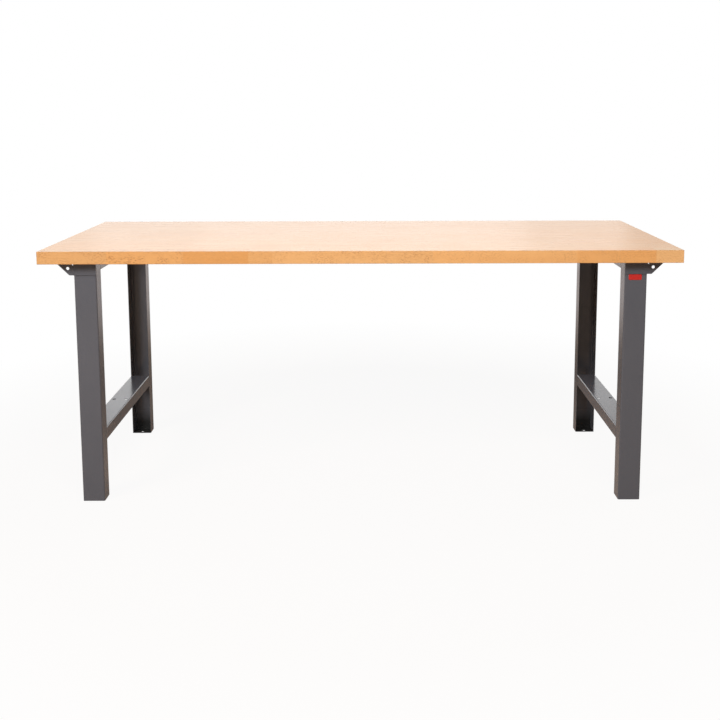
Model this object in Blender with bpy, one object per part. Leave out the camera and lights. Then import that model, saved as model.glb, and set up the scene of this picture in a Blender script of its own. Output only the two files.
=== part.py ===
"""Work table: a solid beech top on two welded trestles of folded sheet steel.

Units are metres and +Z is up. The front of the table faces -Y, and the origin is the
middle of its footprint on the floor.
"""

from math import atan2, cos, pi, radians, sin, tan

import bmesh
import bpy
from mathutils import Matrix, Vector

# Tabletop
TABLE_LENGTH = 2.000
TABLE_DEPTH = 0.750
TABLE_HEIGHT = 0.820
TOP_THICKNESS = 0.040
TOP_ARRIS = 0.0012
TOP_ARRIS_STEPS = 3

# Where the trestles stand under the top
END_OVERHANG = 0.102
EDGE_SETBACK = 0.033

# Folded sheet steel: its thickness, the radius inside a bend, and the gap between welded pieces
SHEET = 0.002
BEND_RADIUS = 0.002
BEND_STEPS = 4
CLEARANCE = 0.0003

# Legs: open channels
LEG_WEB = 0.070
LEG_FLANGE = 0.050

# Rails: inverted channels between the legs
TOP_RAIL_DROP = 0.030
LOWER_RAIL_DROP = 0.040
LOWER_RAIL_HEIGHT = 0.230
RAIL_HOLE_DIAMETER = 0.012
RAIL_HOLE_SPACING = 0.042

# Head brackets: a plate over the leg's head, with an ear outside the leg and a lug under the top
HEAD_DROP = 0.040
EAR_REACH = 0.050
EAR_TOE = 0.013
EAR_CORNER_RADIUS = 0.006
EAR_HOLE_DIAMETER = 0.010
EAR_HOLE_OUT = 0.0175
EAR_HOLE_DOWN = 0.018
RELIEF_DIAMETER = 0.004
RELIEF_OUT = 0.0025
RELIEF_DOWN = 0.006

# Foot plates: folded plates inside the legs' feet
FOOT_LIP = 0.013
FOOT_HOLE_DIAMETER = 0.010
FOOT_HOLE_INSET = 0.012

# Coach screws and washers that hold the top
SCREW_DIAMETER = 0.008
SCREW_LENGTH = 0.035
SCREW_TIP = 0.006
SCREW_HEAD_ACROSS_FLATS = 0.013
SCREW_HEAD_HEIGHT = 0.0055
SCREW_HOLE_PLAY = 0.0005
WASHER_DIAMETER = 0.024
WASHER_THICKNESS = 0.002
RAIL_SCREW_COUNT = 3
RAIL_SCREW_INSET = 0.090

# Sides of the round shapes and of a screw's head, and how far a cutter runs past what it cuts
ROUND_SIDES = 24
HEAD_SIDES = 6
CUTTER_MARGIN = 0.005
SMOOTH_ANGLE = radians(35)

# Heights and places that follow from the sizes above
TOP_UNDERSIDE = TABLE_HEIGHT - TOP_THICKNESS
FRAME_TOP = TOP_UNDERSIDE - CLEARANCE
LUG_UNDERSIDE = FRAME_TOP - SHEET
BEND_DEPTH = SHEET + BEND_RADIUS
LEG_LENGTH = LUG_UNDERSIDE - CLEARANCE
LEG_CENTRE = TABLE_LENGTH / 2 - END_OVERHANG - LEG_WEB / 2
HEAD_FACE = TABLE_DEPTH / 2 - EDGE_SETBACK
LEG_FACE = HEAD_FACE - SHEET - CLEARANCE
LUG_DEPTH = SHEET + CLEARANCE + LEG_FLANGE
RAIL_REACH = LEG_FACE - LEG_FLANGE - CLEARANCE
FOOT_START = SHEET + CLEARANCE
FOOT_WIDTH = LEG_WEB - 2 * FOOT_START
FOOT_LIP_WIDTH = LEG_WEB - 2 * BEND_DEPTH
SCREW_HOLE_DIAMETER = SCREW_DIAMETER + 2 * SCREW_HOLE_PLAY
WASHER_TOP = LUG_UNDERSIDE - CLEARANCE
SCREW_SEAT = WASHER_TOP - WASHER_THICKNESS - CLEARANCE
BRACKET_SCREW_OUT = LEG_WEB / 2 + EAR_REACH / 2
BRACKET_SCREW_IN = (SHEET + LUG_DEPTH) / 2

SIDES = {"left": -1, "right": 1}
ENDS = {"front": -1, "rear": 1}


def make_material(name, colour, roughness, metallic):
    """Returns a Principled material of one colour."""
    material = bpy.data.materials.new(name)
    material.use_nodes = True
    shader = material.node_tree.nodes["Principled BSDF"]
    shader.inputs["Base Color"].default_value = (*colour, 1.0)
    shader.inputs["Roughness"].default_value = roughness
    shader.inputs["Metallic"].default_value = metallic
    return material


def left_of(direction):
    """Returns the direction turned a quarter turn to the left."""
    return Vector((-direction.y, direction.x))


def round_corners(path, radius):
    """Walks a path of straight runs with its corners rounded.

    Returns the points along it, each with the normal on the path's left.
    """
    points = [Vector(point) for point in path]
    runs = [(after - before).normalized() for before, after in zip(points, points[1:])]
    stations = [(points[0], left_of(runs[0]))]
    for corner, before, after in zip(points[1:], runs, runs[1:]):
        turn = atan2(before.cross(after), before.dot(after))
        side = 1 if turn > 0 else -1
        start = corner - before * radius * tan(abs(turn) / 2)
        centre = start + left_of(before) * side * radius
        for step in range(BEND_STEPS + 1):
            normal = Matrix.Rotation(turn * step / BEND_STEPS, 2) @ left_of(before)
            stations.append((centre - normal * side * radius, normal))
    stations.append((points[-1], left_of(runs[-1])))
    return stations


def folded_sheet(middle):
    """Returns the outline of a sheet that is folded along its middle line."""
    stations = round_corners(middle, BEND_RADIUS + SHEET / 2)
    one_face = [point + normal * SHEET / 2 for point, normal in stations]
    other_face = [point - normal * SHEET / 2 for point, normal in stations]
    return one_face + other_face[::-1]


def channel(width, depth):
    """Returns a channel's outline: its web lies along the first axis, and its flanges run up the second."""
    edge = width / 2 - SHEET / 2
    web = SHEET / 2
    return folded_sheet([(-edge, depth), (-edge, web), (edge, web), (edge, depth)])


def angle_fold(rise, run):
    """Returns an angle's outline: one leg rises from the origin, the other runs along the first axis."""
    middle = SHEET / 2
    return folded_sheet([(middle, rise), (middle, middle), (run, middle)])


def circle(diameter, centre, sides=ROUND_SIDES):
    """Returns the outline of a round hole or bar, or of a regular polygon measured across its corners."""
    turns = [2 * pi * side / sides for side in range(sides)]
    return [(centre[0] + diameter / 2 * cos(turn), centre[1] + diameter / 2 * sin(turn)) for turn in turns]


def add_prism(mesh, outline, low, high, axes):
    """Adds an outline drawn out from low to high; axes names where its two axes and the draw point."""
    order = ["XYZ".index(axis) for axis in axes]

    def vertex(point, height):
        place = [0.0, 0.0, 0.0]
        for axis, value in zip(order, (point[0], point[1], height)):
            place[axis] = value
        return mesh.verts.new(place)

    bottom = [vertex(point, low) for point in outline]
    top = [vertex(point, high) for point in outline]
    mesh.faces.new(bottom)
    mesh.faces.new(top)
    for index, start in enumerate(bottom):
        following = (index + 1) % len(bottom)
        mesh.faces.new((start, bottom[following], top[following], top[index]))


def finish_mesh(mesh, name):
    """Turns a bmesh into mesh data, with its faces pointing out."""
    bmesh.ops.recalc_face_normals(mesh, faces=mesh.faces)
    data = bpy.data.meshes.new(name)
    mesh.to_mesh(data)
    mesh.free()
    return data


def prism(name, outline, low, high, axes):
    """Returns one outline drawn out, as mesh data."""
    mesh = bmesh.new()
    add_prism(mesh, outline, low, high, axes)
    return finish_mesh(mesh, name)


def combine(data, tool, operation):
    """Returns mesh data after a Boolean with another mesh, and removes the two it was made from."""
    body = bpy.data.objects.new("body", data)
    cutter = bpy.data.objects.new("cutter", tool)
    cutter.display_type = "WIRE"
    cutter.hide_render = True
    for item in (body, cutter):
        bpy.context.scene.collection.objects.link(item)
    modifier = body.modifiers.new("combine", "BOOLEAN")
    modifier.operation = operation
    modifier.object = cutter
    evaluated = body.evaluated_get(bpy.context.evaluated_depsgraph_get())
    result = bpy.data.meshes.new_from_object(evaluated)
    result.name = data.name
    for item in (body, cutter):
        bpy.data.objects.remove(item)
    for old in (data, tool):
        bpy.data.meshes.remove(old)
    return result


def dress(data, material):
    """Gives mesh data its material and shades its round faces smooth."""
    data.materials.clear()
    data.materials.append(material)
    data.shade_smooth()
    data.set_sharp_from_angle(angle=SMOOTH_ANGLE)
    return data


def place(name, data, parent, location, turn=0.0):
    """Adds a piece at a place under its parent, turned about the vertical."""
    piece = bpy.data.objects.new(name, data)
    piece.location = location
    piece.rotation_euler.z = turn
    piece.parent = parent
    bpy.context.scene.collection.objects.link(piece)
    return piece


def rail_screw_places():
    """Returns where the screws stand along a top rail."""
    first = -(RAIL_REACH - RAIL_SCREW_INSET)
    step = -2 * first / (RAIL_SCREW_COUNT - 1)
    return [first + step * index for index in range(RAIL_SCREW_COUNT)]


def trestle_screw_places(side):
    """Returns what each screw holds, how its name ends, and its place in a trestle's frame from above."""
    places = [("rail", f"_{index}", 0.0, along) for index, along in enumerate(rail_screw_places(), 1)]
    for end, sign in ENDS.items():
        along = sign * (HEAD_FACE - BRACKET_SCREW_IN)
        places.append((f"{end}_bracket", "", side * BRACKET_SCREW_OUT, along))
    return places


def tabletop_mesh():
    """The glued beech panel, with rounded arrises and blind holes for the screws."""
    mesh = bmesh.new()
    size = (TABLE_LENGTH, TABLE_DEPTH, TOP_THICKNESS)
    bmesh.ops.create_cube(mesh, size=1.0)
    bmesh.ops.scale(mesh, vec=size, verts=mesh.verts)
    bmesh.ops.bevel(
        mesh, geom=mesh.edges[:], offset=TOP_ARRIS, segments=TOP_ARRIS_STEPS, profile=0.5, affect="EDGES"
    )
    panel = finish_mesh(mesh, "tabletop")
    holes = bmesh.new()
    middle = TABLE_HEIGHT - TOP_THICKNESS / 2
    low = TOP_UNDERSIDE - CUTTER_MARGIN - middle
    high = SCREW_SEAT + SCREW_LENGTH + SCREW_HOLE_PLAY - middle
    for side in SIDES.values():
        for _, _, across, along in trestle_screw_places(side):
            centre = (side * LEG_CENTRE + across, along)
            add_prism(holes, circle(SCREW_HOLE_DIAMETER, centre), low, high, "XYZ")
    return combine(panel, finish_mesh(holes, "holes"), "DIFFERENCE")


def leg_mesh():
    """A leg: its web faces -Y at the origin. The web's head is cut clear of the bracket's bend."""
    leg = prism("leg", channel(LEG_WEB, LEG_FLANGE), 0.0, LEG_LENGTH, "XYZ")
    half = LEG_WEB / 2 + CUTTER_MARGIN
    notch = [(-half, -CUTTER_MARGIN), (half, -CUTTER_MARGIN), (half, BEND_DEPTH), (-half, BEND_DEPTH)]
    cutter = prism("notch", notch, LEG_LENGTH - BEND_RADIUS, LEG_LENGTH + CUTTER_MARGIN, "XYZ")
    return combine(leg, cutter, "DIFFERENCE")


def foot_plate_mesh():
    """A foot plate in its leg's frame: a lip stands against the web and the plate lies on the floor.

    The plate fills the channel, and its corners are notched clear of the leg's bends.
    """
    outline = [(FOOT_START + y, z) for y, z in angle_fold(FOOT_LIP, LEG_FLANGE - FOOT_START)]
    plate = prism("foot_plate", outline, -FOOT_WIDTH / 2, FOOT_WIDTH / 2, "YZX")
    back, front = -CUTTER_MARGIN, FOOT_START + BEND_DEPTH
    cutter = bmesh.new()
    for side in SIDES.values():
        near, far = side * FOOT_LIP_WIDTH / 2, side * (FOOT_WIDTH / 2 + CUTTER_MARGIN)
        notch = [(near, back), (far, back), (far, front), (near, front)]
        add_prism(cutter, notch, -CUTTER_MARGIN, FOOT_LIP + CUTTER_MARGIN, "XYZ")
    hole = circle(FOOT_HOLE_DIAMETER, (0.0, LEG_FLANGE - FOOT_HOLE_INSET))
    add_prism(cutter, hole, -CUTTER_MARGIN, SHEET + CUTTER_MARGIN, "XYZ")
    return combine(plate, finish_mesh(cutter, "cuts"), "DIFFERENCE")


def rail_mesh(name, drop, holes):
    """An inverted channel along Y with its web's upper face at zero, and holes through the web."""
    outline = [(x, -depth) for x, depth in channel(LEG_WEB, drop)]
    rail = prism(name, outline, -RAIL_REACH, RAIL_REACH, "XZY")
    cutter = bmesh.new()
    for hole in holes:
        add_prism(cutter, hole, -SHEET - CUTTER_MARGIN, CUTTER_MARGIN, "XYZ")
    return combine(rail, finish_mesh(cutter, "holes"), "DIFFERENCE")


def ear_waste():
    """Returns the outline of what is cut from the plate outside the ear's slanted, rounded edge."""
    leg_edge = LEG_WEB / 2
    tip = leg_edge + EAR_REACH
    toe = leg_edge + EAR_TOE
    edge = [(tip, -BEND_DEPTH), (toe, -HEAD_DROP), (leg_edge, -HEAD_DROP)]
    rounded = [point for point, normal in round_corners(edge, EAR_CORNER_RADIUS)][:-1]
    below = -HEAD_DROP - CUTTER_MARGIN
    outside = tip + CUTTER_MARGIN
    return rounded + [(rounded[-1].x, below), (outside, below), (outside, -BEND_DEPTH)]


def head_bracket_mesh(ear_side):
    """A head bracket: its plate faces -Y at the origin, its lug runs back, its ear is on one side in X."""
    outline = [(y, -z) for y, z in angle_fold(HEAD_DROP, LUG_DEPTH)]
    ends = sorted((-ear_side * LEG_WEB / 2, ear_side * (LEG_WEB / 2 + EAR_REACH)))
    bracket = prism("head_bracket", outline, *ends, "YZX")
    waste = [(ear_side * x, z) for x, z in ear_waste()]
    ear_hole = circle(EAR_HOLE_DIAMETER, (ear_side * (LEG_WEB / 2 + EAR_HOLE_OUT), -EAR_HOLE_DOWN))
    relief = circle(RELIEF_DIAMETER, (ear_side * (LEG_WEB / 2 + RELIEF_OUT), -RELIEF_DOWN))
    screw_hole = circle(SCREW_HOLE_DIAMETER, (ear_side * BRACKET_SCREW_OUT, BRACKET_SCREW_IN))
    cutter = bmesh.new()
    for shape in (waste, ear_hole, relief):
        add_prism(cutter, shape, -CUTTER_MARGIN, BEND_DEPTH, "XZY")
    add_prism(cutter, screw_hole, -BEND_DEPTH, CUTTER_MARGIN, "XYZ")
    return combine(bracket, finish_mesh(cutter, "cuts"), "DIFFERENCE")


def screw_mesh():
    """A coach screw, point up: a hexagon head below the origin and a shank above it."""
    across_corners = SCREW_HEAD_ACROSS_FLATS / cos(pi / HEAD_SIDES)
    hexagon = circle(across_corners, (0.0, 0.0), HEAD_SIDES)
    head = prism("screw", hexagon, -SCREW_HEAD_HEIGHT, 0.0, "XYZ")
    shank = bmesh.new()
    bar = circle(SCREW_DIAMETER, (0.0, 0.0))
    add_prism(shank, bar, -SCREW_HEAD_HEIGHT / 2, SCREW_LENGTH - SCREW_TIP, "XYZ")
    point = max(shank.faces, key=lambda face: face.calc_center_median().z)
    tip = bmesh.ops.poke(shank, faces=[point])["verts"][0]
    tip.co.z += SCREW_TIP
    return combine(head, finish_mesh(shank, "shank"), "UNION")


def washer_mesh():
    """A flat washer, its upper face at the origin."""
    disc = prism("washer", circle(WASHER_DIAMETER, (0.0, 0.0)), -WASHER_THICKNESS, 0.0, "XYZ")
    bore = circle(SCREW_HOLE_DIAMETER, (0.0, 0.0))
    cutter = prism("bore", bore, -WASHER_THICKNESS - CUTTER_MARGIN, CUTTER_MARGIN, "XYZ")
    return combine(disc, cutter, "DIFFERENCE")


def add_trestle(name, side, shapes):
    """Adds one trestle under the top, with its screws and washers."""
    trestle = place(f"{name}_trestle", None, None, (side * LEG_CENTRE, 0.0, 0.0))
    place(f"{name}_top_rail", shapes["top_rail"], trestle, (0.0, 0.0, FRAME_TOP))
    place(f"{name}_lower_rail", shapes["lower_rail"], trestle, (0.0, 0.0, LOWER_RAIL_HEIGHT))
    for end, sign in ENDS.items():
        turn = 0.0 if end == "front" else pi
        leg_foot = (0.0, sign * LEG_FACE, 0.0)
        place(f"{name}_{end}_leg", shapes["leg"], trestle, leg_foot, turn)
        place(f"{name}_{end}_foot_plate", shapes["foot_plate"], trestle, leg_foot, turn)
        bracket = shapes["head_bracket"][-sign * side]
        place(f"{name}_{end}_head_bracket", bracket, trestle, (0.0, sign * HEAD_FACE, FRAME_TOP), turn)
    for held, ending, across, along in trestle_screw_places(side):
        place(f"{name}_{held}_screw{ending}", shapes["screw"], trestle, (across, along, SCREW_SEAT))
        place(f"{name}_{held}_washer{ending}", shapes["washer"], trestle, (across, along, WASHER_TOP))


def main():
    """Builds the table."""
    for old in list(bpy.data.objects):
        bpy.data.objects.remove(old)
    beech = make_material("beech", (0.80, 0.52, 0.25), 0.45, 0.0)
    paint = make_material("anthracite_paint", (0.075, 0.073, 0.078), 0.3, 0.0)
    zinc = make_material("zinc_plate", (0.55, 0.56, 0.57), 0.35, 1.0)

    screw_holes = [circle(SCREW_HOLE_DIAMETER, (0.0, along)) for along in rail_screw_places()]
    half_spacing = RAIL_HOLE_SPACING / 2
    shelf_holes = [circle(RAIL_HOLE_DIAMETER, (side * half_spacing, 0.0)) for side in SIDES.values()]
    shapes = {
        "leg": dress(leg_mesh(), paint),
        "foot_plate": dress(foot_plate_mesh(), paint),
        "top_rail": dress(rail_mesh("top_rail", TOP_RAIL_DROP, screw_holes), paint),
        "lower_rail": dress(rail_mesh("lower_rail", LOWER_RAIL_DROP, shelf_holes), paint),
        "head_bracket": {hand: dress(head_bracket_mesh(hand), paint) for hand in SIDES.values()},
        "screw": dress(screw_mesh(), zinc),
        "washer": dress(washer_mesh(), zinc),
    }
    top = dress(tabletop_mesh(), beech)
    place("tabletop", top, None, (0.0, 0.0, TABLE_HEIGHT - TOP_THICKNESS / 2))
    for name, side in SIDES.items():
        add_trestle(name, side, shapes)


main()
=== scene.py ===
"""Dresses a work table: a beech top of glued staves on two trestles of painted sheet steel.

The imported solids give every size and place. This script lays the top's staves, refines and
paints the folded steel, runs the weld seams, sets the screws and lights a plain studio.
Units are metres, +Z is up and the table's front faces -Y.
"""

import logging
from dataclasses import dataclass, field
from enum import Enum
from math import cos, pi, radians
from random import Random
from typing import Iterable, Optional, Sequence, Union

import bmesh
import bpy
from mathutils import Matrix, Vector


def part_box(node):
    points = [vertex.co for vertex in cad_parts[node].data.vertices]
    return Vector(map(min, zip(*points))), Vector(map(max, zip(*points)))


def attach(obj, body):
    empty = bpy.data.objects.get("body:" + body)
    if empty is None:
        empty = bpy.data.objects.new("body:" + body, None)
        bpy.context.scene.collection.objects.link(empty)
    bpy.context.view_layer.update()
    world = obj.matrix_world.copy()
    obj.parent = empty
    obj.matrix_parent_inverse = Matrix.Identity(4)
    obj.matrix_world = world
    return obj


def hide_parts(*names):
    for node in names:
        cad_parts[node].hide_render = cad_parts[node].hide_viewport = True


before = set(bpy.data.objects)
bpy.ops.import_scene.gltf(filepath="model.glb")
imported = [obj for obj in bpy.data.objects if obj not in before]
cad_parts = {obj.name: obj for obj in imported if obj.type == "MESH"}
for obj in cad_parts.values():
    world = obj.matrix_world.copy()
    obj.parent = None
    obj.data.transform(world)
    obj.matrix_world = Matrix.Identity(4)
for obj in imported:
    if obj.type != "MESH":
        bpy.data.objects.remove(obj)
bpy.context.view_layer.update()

LOG = logging.getLogger("work_table")
BODY = "root"
ROUNDED_EDGE = "rounded_edge"

BMesh = bmesh.types.BMesh
Material = bpy.types.Material
Mesh = bpy.types.Mesh
Node = bpy.types.Node
Outputs = bpy.types.bpy_prop_collection
Socket = bpy.types.NodeSocket
Pair = tuple[float, float]
Triple = tuple[float, float, float]
Rgb = Triple
Value = Union[float, int, bool, str, Sequence[float], Socket, bpy.types.ID]
Key = Union[str, int]
Inputs = dict[Key, Value]

WHITE: Rgb = (1.0, 1.0, 1.0)
ALONG: Triple = (1.0, 0.0, 0.0)
FORWARD: Triple = (0.0, -1.0, 0.0)
UP: Triple = (0.0, 0.0, 1.0)


class Side(Enum):
    """The table's two trestles, by their words in node names."""

    LEFT = "left"
    RIGHT = "right"


class End(Enum):
    """The two legs of a trestle, by their words in node names."""

    FRONT = "front"
    REAR = "rear"


class Slot(Enum):
    """The material slots, by name."""

    BEECH = "beech"
    PAINT = "frame_paint"
    ZINC = "zinc"


class StaveData(Enum):
    """What each stave's faces carry for the beech finish to read."""

    CENTRE = "stave_centre"
    SIZE = "stave_size"
    TONE = "stave_tone"
    # The light painted on the stave's sides
    LIGHT = "stave_light"
    FLECK = "stave_fleck"

    @property
    def kind(self) -> str:
        """The attribute's type: a vector for a place or a size, or else a number."""
        return "FLOAT_VECTOR" if self in (StaveData.CENTRE, StaveData.SIZE) else "FLOAT"


def rgba(colour: Value) -> Value:
    """Returns a colour with full alpha, and a socket as it is."""
    return (*colour, 1.0) if isinstance(colour, tuple) else colour


class Graph:
    """Adds nodes to one tree and links them as they are made."""

    # The Mix node's factor, its two colours and its result, by number
    MIX_INPUTS, MIX_RESULT = (0, 6, 7), 2

    def __init__(self, tree: bpy.types.NodeTree) -> None:
        """Keeps the tree that the nodes go into."""
        self.tree = tree

    def add(self, kind: str, inputs: Optional[Inputs] = None, **settings: object) -> Node:
        """Adds a node.

        Args:
            kind: The node's type.
            inputs: A constant or a socket for each input, by name or number.
            settings: The node's own properties.

        Returns:
            The new node.
        """
        node = self.tree.nodes.new(kind)
        for name, value in settings.items():
            setattr(node, name, value)
        self.feed(node, inputs or {})
        return node

    def feed(self, node: Node, inputs: Inputs) -> None:
        """Links or sets a node's inputs.

        Args:
            node: The node to feed.
            inputs: A constant or a socket for each input, by name or number.
        """
        for key, value in inputs.items():
            if isinstance(value, Socket):
                self.tree.links.new(value, node.inputs[key])
            else:
                node.inputs[key].default_value = value

    def out(
        self, kind: str, inputs: Optional[Inputs] = None, output: Key = 0, **settings: object
    ) -> Socket:
        """Adds a node and returns one of its outputs."""
        return self.add(kind, inputs, **settings).outputs[output]

    def math(self, operation: str, *values: Value) -> Socket:
        """Adds a sum on numbers and returns its result."""
        return self.out("ShaderNodeMath", dict(enumerate(values)), operation=operation)

    def times(self, value: Value, share: Value) -> Socket:
        """Returns the product of two numbers."""
        return self.math("MULTIPLY", value, share)

    def plus(self, value: Value, share: Value, base: Value) -> Socket:
        """Returns a share of a number, added to another one."""
        return self.math("MULTIPLY_ADD", value, share, base)

    def vector(self, operation: str, *values: Value) -> Socket:
        """Adds a sum on vectors and returns its result, a number for a length or a product."""
        node = self.add("ShaderNodeVectorMath", dict(enumerate(values)), operation=operation)
        return node.outputs["Value" if operation in ("LENGTH", "DOT_PRODUCT") else "Vector"]

    def parts(self, vector: Value) -> Outputs:
        """Returns a vector's numbers, by the names of their axes."""
        return self.add("ShaderNodeSeparateXYZ", {"Vector": vector}).outputs

    def span(
        self, value: Value, low: float, high: float, start: float = 0.0, stop: float = 1.0
    ) -> Socket:
        """Maps the range from low to high to the one from start to stop, clamped."""
        ends = {"From Min": low, "From Max": high, "To Min": start, "To Max": stop}
        return self.out("ShaderNodeMapRange", {"Value": value, **ends})

    def blend(self, factor: Value, first: Value, second: Value) -> Socket:
        """Mixes two colours; the factor is the second one's share."""
        inputs = dict(zip(self.MIX_INPUTS, (factor, rgba(first), rgba(second))))
        return self.out("ShaderNodeMix", inputs, self.MIX_RESULT, data_type="RGBA")

    def noise(
        self, place: Value, cells: Value, detail: float = 2.0, roughness: float = 0.5
    ) -> Socket:
        """Adds a noise pattern, around one half, of so many cells to a metre."""
        inputs = {"Vector": place, "Scale": cells, "Detail": detail, "Roughness": roughness}
        return self.out("ShaderNodeTexNoise", inputs)

    def drawn_out(self, place: Value, cells: Triple, detail: float = 2.0) -> Socket:
        """Adds a noise pattern with its own number of cells to a metre on each axis."""
        return self.noise(self.vector("MULTIPLY", place, cells), 1.0, detail)

    def attribute(self, name: str, output: str = "Fac") -> Socket:
        """Reads a mesh attribute: Fac for a number, Vector for a vector."""
        return self.add("ShaderNodeAttribute", attribute_name=name).outputs[output]

    def facing(self, axis: Triple) -> Socket:
        """Returns how squarely the surface faces along an axis, from -1 to 1."""
        normal = self.add("ShaderNodeNewGeometry").outputs["Normal"]
        return self.vector("DOT_PRODUCT", normal, axis)

    def bump(self, height: Value, strength: float, distance: float) -> Socket:
        """Adds a fine relief and returns the normal that it gives."""
        inputs = {"Height": height, "Strength": strength, "Distance": distance}
        return self.out("ShaderNodeBump", inputs)

    def seen(self) -> tuple[Socket, Socket]:
        """Tells the rays apart by what they show.

        Returns:
            1 for camera rays, and 1 for the rays of reflections and of clear things.
        """
        path = self.add("ShaderNodeLightPath").outputs
        mirrored = self.math("MAXIMUM", path["Is Glossy Ray"], path["Is Transmission Ray"])
        return path["Is Camera Ray"], mirrored

    def show(self, output: str, share: Socket, first: Node, second: Node) -> None:
        """Shows a mix of two shaders, with the second one's share."""
        inputs = {0: share, 1: first.outputs[0], 2: second.outputs[0]}
        self.feed(self.tree.nodes[output], {"Surface": self.out("ShaderNodeMixShader", inputs)})


class EffectGroup(Graph):
    """A shader node group that several finishes share, drawn from a place and a number."""

    def __init__(self, name: str, number: str, outputs: Sequence[str]) -> None:
        """Makes an empty group with its sockets.

        Args:
            name: The group's name.
            number: The name of its number input.
            outputs: The names of its outputs, all numbers.
        """
        super().__init__(bpy.data.node_groups.new(name, "ShaderNodeTree"))
        add = self.tree.interface.new_socket
        add("Place", in_out="INPUT", socket_type="NodeSocketVector")
        add(number, in_out="INPUT", socket_type="NodeSocketFloat")
        for label in outputs:
            add(label, in_out="OUTPUT", socket_type="NodeSocketFloat")
        source = self.add("NodeGroupInput").outputs
        self.place, self.number = source["Place"], source[number]
        self.result = self.add("NodeGroupOutput")

    def on(self, graph: Graph, place: Socket, number: Value) -> Outputs:
        """Puts the group into a material's graph and returns its outputs."""
        inputs = {"Place": place, self.number.name: number}
        return graph.add("ShaderNodeGroup", inputs, node_tree=self.tree).outputs


class SharedEffects:
    """The effects that more than one finish uses, each built once."""

    SMUDGE_CELLS = 9.0
    HAIR_CELLS: Triple = (220.0, 220.0, 34.0)
    PATCH_CELLS = 38.0
    FINER_PEEL, FINER_SHARE = 2.7, 0.35

    def __init__(self) -> None:
        """Builds every group."""
        self.orange_peel = self._orange_peel()
        self.handling = self._handling()
        self.edge_wear_and_shade = self._edge_wear_and_shade()

    def _orange_peel(self) -> EffectGroup:
        """Draws the fine waviness of a coat that has flowed out.

        Returns:
            The effect.
        """
        group = EffectGroup("orange_peel", "Cells", ["Height"])
        wide = group.noise(group.place, group.number, detail=1.0)
        finer = group.times(group.number, self.FINER_PEEL)
        fine = group.noise(group.place, finer, detail=0.0)
        group.feed(group.result, {"Height": group.plus(fine, self.FINER_SHARE, wide)})
        return group

    def _handling(self) -> EffectGroup:
        """Draws the smudges and hairline scuffs of handling.

        Returns:
            The effect.
        """
        group = EffectGroup("handling_marks", "Amount", ["Mask"])
        smudge = group.noise(group.place, self.SMUDGE_CELLS, detail=4.0, roughness=0.6)
        scuff = group.span(group.drawn_out(group.place, self.HAIR_CELLS), 0.68, 0.76, 0.0, 0.8)
        marks = group.math("MAXIMUM", group.span(smudge, 0.45, 0.75), scuff)
        group.feed(group.result, {"Mask": group.times(marks, group.number)})
        return group

    def _edge_wear_and_shade(self) -> EffectGroup:
        """Draws where a coat is thin or rubbed along the pieces' edges, and where the beech's
        arrises get painted shade.

        Returns:
            The effect.
        """
        group = EffectGroup("edge_wear_and_shade", "Edge", ["Thin And Shade", "Rubbed"])
        patches = group.noise(group.place, self.PATCH_CELLS, detail=5.0, roughness=0.65)
        for output, low, high in (("Thin And Shade", 0.3, 0.6), ("Rubbed", 0.66, 0.72)):
            mask = group.times(group.number, group.span(patches, low, high))
            group.feed(group.result, {output: mask})
        return group


class Finish(Graph):
    """A new material's graph; each kind of finish draws what its Principled shader gets."""

    name: str = ""

    def __init__(self, effects: Optional[SharedEffects] = None) -> None:
        """Makes and draws the material.

        Args:
            effects: The shared effects, where it uses any.
        """
        self.material = bpy.data.materials.new(self.name)
        self.material.use_nodes = True
        super().__init__(self.material.node_tree)
        self.effects = effects
        self.shader = self.tree.nodes["Principled BSDF"]
        self.place = self.add("ShaderNodeTexCoord").outputs["Object"]
        self.feed(self.shader, self.draw())

    def draw(self) -> Inputs:
        """Returns the shader's inputs; each kind has its own."""
        return {}

    def wear(self) -> Outputs:
        """Returns the masks of thin and of rubbed edges; the beech paints shade on its arrises with
        the thin one.
        """
        return self.effects.edge_wear_and_shade.on(self, self.place, self.attribute(ROUNDED_EDGE))

    def cloud(self, cells: float, low: float, high: float) -> Socket:
        """Returns the mask of soft clouds, of so many cells to a metre."""
        return self.span(self.noise(self.place, cells, detail=3.0), low, high)

    def marks(self, amount: float) -> Socket:
        """Returns the mask of handling marks."""
        return self.effects.handling.on(self, self.place, amount)["Mask"]

    def roughness(self, amount: float, clean: float, dulled: float) -> Socket:
        """Returns a roughness that an amount of handling marks has dulled."""
        return self.span(self.marks(amount), 0.0, 1.0, clean, dulled)

    def peel(self, cells: float, strength: float, height: float) -> Socket:
        """Returns the normal of a coat's fine waviness."""
        waves = self.effects.orange_peel.on(self, self.place, cells)["Height"]
        return self.bump(waves, strength, height)


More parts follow.
